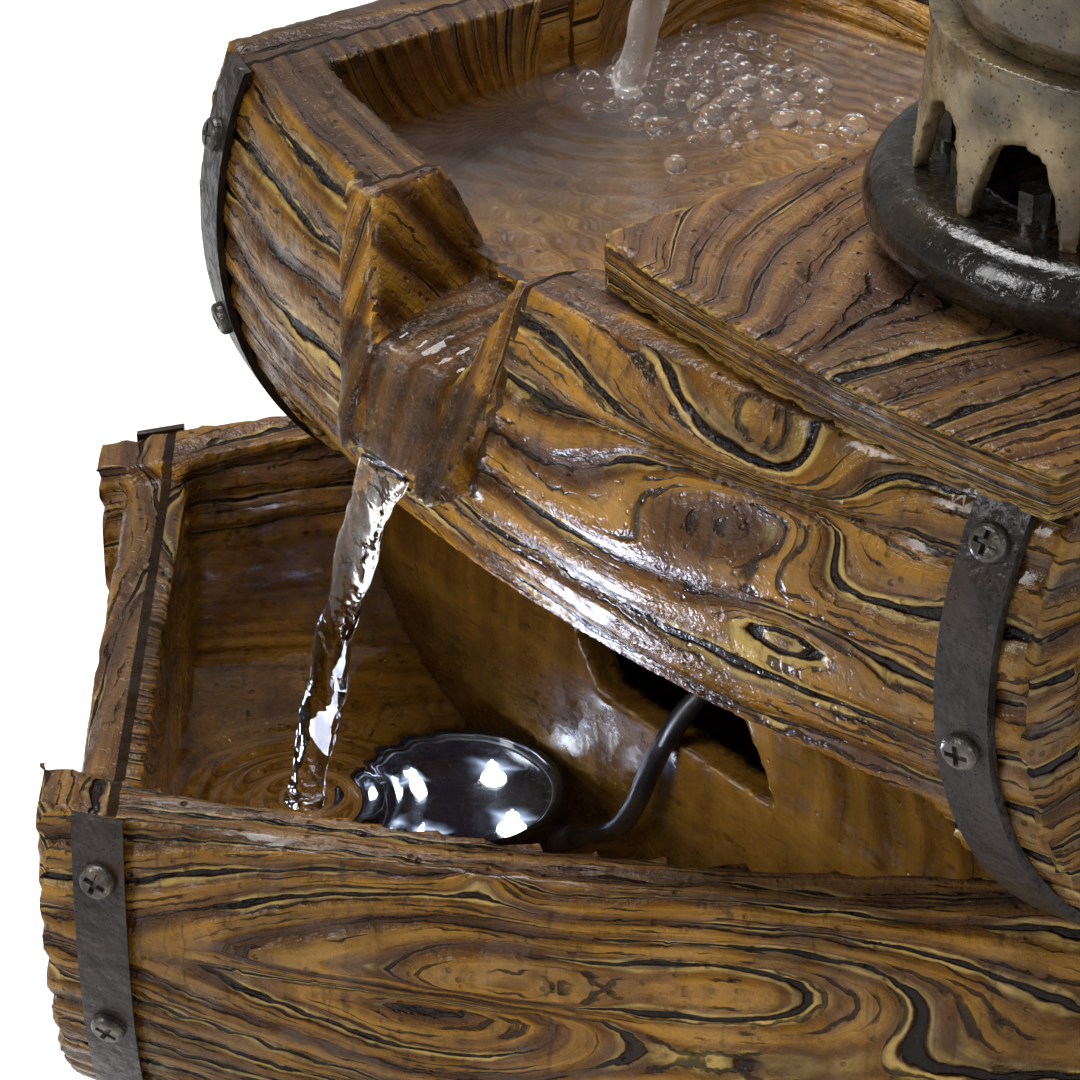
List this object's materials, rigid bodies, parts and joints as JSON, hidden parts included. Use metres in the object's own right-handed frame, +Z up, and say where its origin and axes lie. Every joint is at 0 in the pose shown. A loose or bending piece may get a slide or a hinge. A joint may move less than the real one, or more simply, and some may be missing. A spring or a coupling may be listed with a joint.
{
  "type": "tabletop water fountain",
  "caption": "Tiered barrel fountain with a hand pump over the upper barrel, a spill chute, a hollow stand and a lit lower half-barrel pool.",
  "frame": {"origin": "on the ground under the middle of the lower barrel", "axes": "+X along the lower barrel to the right as pictured, +Y away from the viewer, +Z up"},
  "size_m": [0.4, 0.2764, 0.457],
  "materials": {
    "resin_wood": "glossy cast wood look",
    "resin_hoop": "dark brown-grey band",
    "screw_metal": "worn grey",
    "pump_bronze": "mottled old bronze look",
    "pump_dark": "dark glossy gunmetal look",
    "black_plastic": "satin black",
    "soft_rubber": "matt black",
    "clear_lens": "clear",
    "emitter_white": "clear white dome",
    "board_green": "white board",
    "clear_hose": "translucent",
    "steel": "plain",
    "magnet_grey": "moulded grey"
  },
  "bodies": {
    "fountain": {"lower_basin": "resin_wood", "lower_hoop_left": "resin_hoop", "lower_hoop_right": "resin_hoop", "lower_hoop_screws": "screw_metal", "cord_grommet": "soft_rubber", "pedestal": "resin_wood", "upper_barrel": "resin_wood", "upper_hoop_left": "resin_hoop", "upper_hoop_right": "resin_hoop", "upper_hoop_screws": "screw_metal", "riser_seal": "soft_rubber", "pump_deck": "resin_wood", "pump_flange": "pump_dark", "pump_skirt": "pump_bronze", "pump_skirt_bolts": "pump_dark", "pump_cylinder": "pump_bronze", "pump_spout": "pump_bronze", "pump_cap": "pump_dark", "cap_screws": "screw_metal", "lever_bracket": "pump_bronze", "handle_pin": "steel", "sub_housing": "black_plastic", "sub_shaft": "steel", "sub_impeller_cover": "black_plastic", "sub_strainer": "black_plastic", "sub_feet": "soft_rubber", "sub_outlet": "black_plastic", "sub_gland": "soft_rubber", "riser_hose": "clear_hose", "hose_clamp": "steel", "light_housing": "black_plastic", "light_board": "board_green", "light_emitters": "emitter_white", "light_lens": "clear_lens", "light_seal": "soft_rubber", "light_cups": "soft_rubber", "light_gland": "soft_rubber", "light_cable": "soft_rubber", "cable_connector": "black_plastic", "cable_clip": "black_plastic"},
    "handle": {"pump_handle": "pump_dark"},
    "plunger": {"plunger_rod": "steel", "rod_pin": "steel"},
    "impeller": {"sub_impeller": "magnet_grey"},
    "dial": {"sub_dial": "black_plastic"},
    "cover": {"access_cover": "black_plastic"}
  },
  "joints": [
    {"name": "handle_lift", "type": "hinge", "parent": "fountain", "child": "handle", "pos_m": [0.00974, -0.07236, 0.438], "axis": [-0.788, -0.6157, 0], "range_deg": [0, 40]},
    {"name": "plunger_slide", "type": "slide", "parent": "fountain", "child": "plunger", "axis": [0, 0, 1], "range_m": [-0.0208, 0]},
    {"name": "impeller_spin", "type": "hinge", "parent": "fountain", "child": "impeller", "pos_m": [-0.02596, -0.02665, 0.036], "axis": [0.6157, -0.788, 0], "continuous": true},
    {"name": "flow_dial_turn", "type": "hinge", "parent": "fountain", "child": "dial", "pos_m": [-0.02596, -0.02665, 0.04], "axis": [-0.6157, 0.788, 0], "range_deg": [0, 90]},
    {"name": "cover_pull", "type": "slide", "parent": "fountain", "child": "cover", "axis": [0.788, 0.6157, 0], "range_m": [0, 0.024]}
  ],
  "couplings": [
    {"joint": "plunger_slide", "follows": "handle_lift", "m_per_rad": -0.0292}
  ]
}
